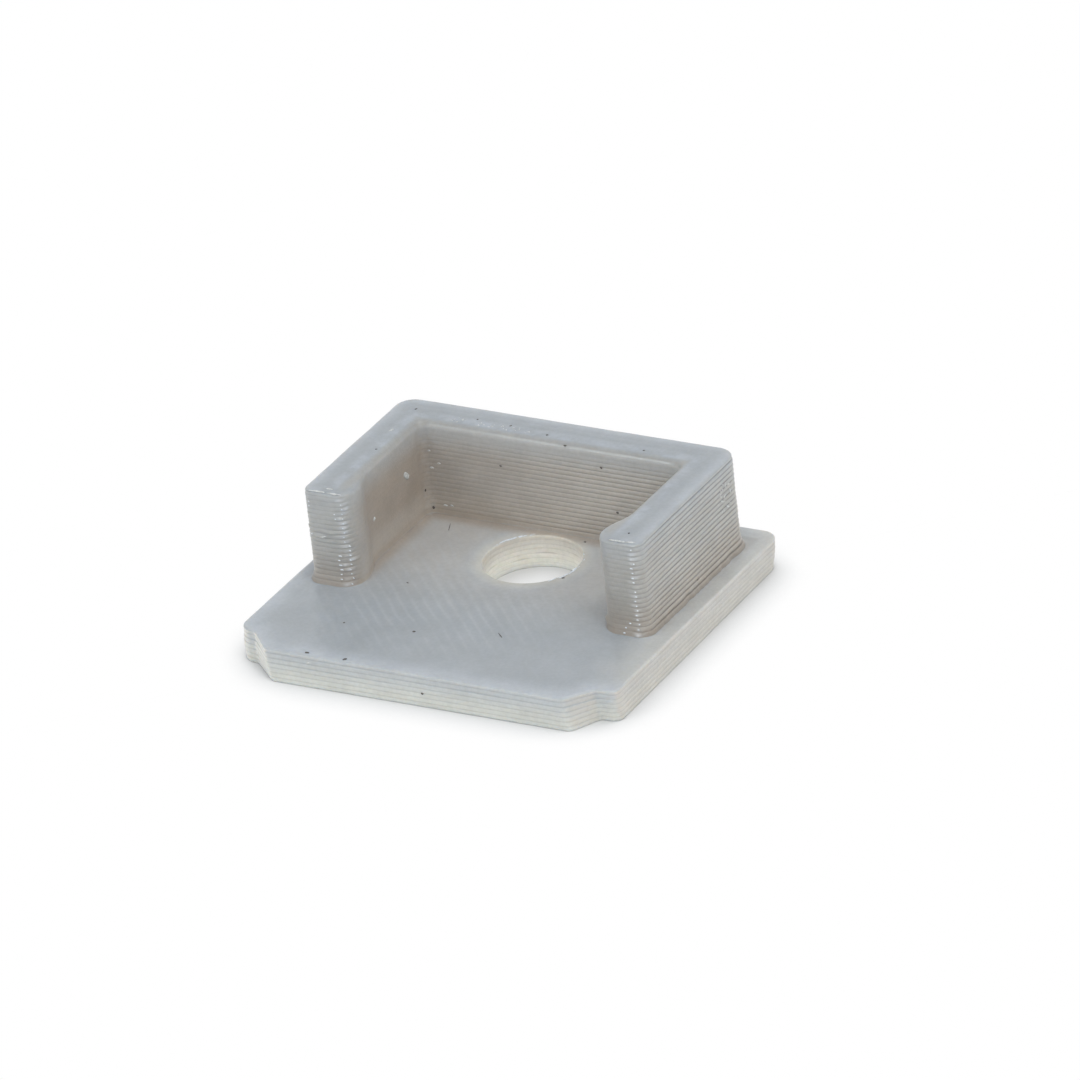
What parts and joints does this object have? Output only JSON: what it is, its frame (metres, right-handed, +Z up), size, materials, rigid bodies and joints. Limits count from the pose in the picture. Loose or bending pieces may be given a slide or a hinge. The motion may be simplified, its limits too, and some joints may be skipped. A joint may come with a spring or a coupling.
{
  "type": "profile end cap",
  "caption": "Flat end cap for an aluminium profile: a plate with stepped front corners, a round cable hole and a raised U-shaped wall with swelling arm ends that plugs into the profile.",
  "frame": {"origin": "middle of the plate's footprint, on the surface that the plate lies on", "axes": "+Z up out of the plate along the plug-in direction, +Y to the closed back of the U, +X along the plate's width"},
  "size_m": [0.0166, 0.0148, 0.0054],
  "materials": {
    "print_plastic": "satin, with the fine layer lines of a print"
  },
  "bodies": {
    "root": {"end_cap": "print_plastic"}
  },
  "joints": []
}
